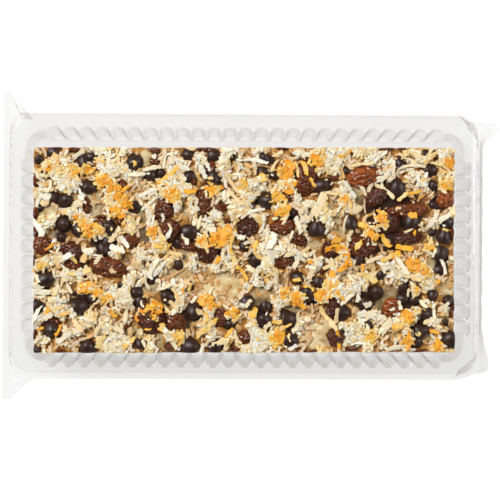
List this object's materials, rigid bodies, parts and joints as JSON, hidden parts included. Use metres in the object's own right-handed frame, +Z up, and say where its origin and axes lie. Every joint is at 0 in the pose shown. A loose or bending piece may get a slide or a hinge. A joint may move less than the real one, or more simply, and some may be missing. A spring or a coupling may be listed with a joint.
{
  "type": "coconut slice in a clear tray",
  "caption": "Rectangular baked slab topped with shredded coconut, chocolate drops and raisins, in a fluted clear tray sealed in clear film.",
  "frame": {"origin": "centre of the tray's well, on the surface that the pack stands on", "axes": "+X along the slab's long side, +Y along its short side, +Z up"},
  "size_m": [0.2508, 0.1544, 0.0316],
  "materials": {
    "film": "thin clear polypropylene film, glossy",
    "tray": "clear vacuum-formed sheet, glossy",
    "slice": "matte baked coconut with a thin set glaze",
    "raisin": "wrinkled, soft gloss",
    "chocolate": "satin dark chocolate",
    "coconut": "matte shredded coconut, toasted in places"
  },
  "bodies": {
    "root": {"film": "film", "tray": "tray", "slice": "slice", "raisin_01": "raisin", "raisin_02": "raisin", "raisin_03": "raisin", "raisin_04": "raisin", "raisin_05": "raisin", "raisin_06": "raisin", "raisin_07": "raisin", "raisin_08": "raisin", "raisin_09": "raisin", "raisin_10": "raisin", "raisin_11": "raisin", "raisin_12": "raisin", "raisin_13": "raisin", "raisin_14": "raisin", "raisin_15": "raisin", "raisin_16": "raisin", "raisin_17": "raisin", "raisin_18": "raisin", "raisin_19": "raisin", "raisin_20": "raisin", "raisin_21": "raisin", "raisin_22": "raisin", "raisin_23": "raisin", "raisin_24": "raisin", "raisin_25": "raisin", "raisin_26": "raisin", "chip_01": "chocolate", "chip_02": "chocolate", "chip_03": "chocolate", "chip_04": "chocolate", "chip_05": "chocolate", "chip_06": "chocolate", "chip_07": "chocolate", "chip_08": "chocolate", "chip_09": "chocolate", "chip_10": "chocolate", "chip_11": "chocolate", "chip_12": "chocolate", "chip_13": "chocolate", "chip_14": "chocolate", "chip_15": "chocolate", "chip_16": "chocolate", "chip_17": "chocolate", "chip_18": "chocolate", "chip_19": "chocolate", "chip_20": "chocolate", "chip_21": "chocolate", "chip_22": "chocolate", "chip_23": "chocolate", "chip_24": "chocolate", "chip_25": "chocolate", "chip_26": "chocolate", "chip_27": "chocolate", "chip_28": "chocolate", "chip_29": "chocolate", "chip_30": "chocolate", "chip_31": "chocolate"}
  },
  "joints": []
}
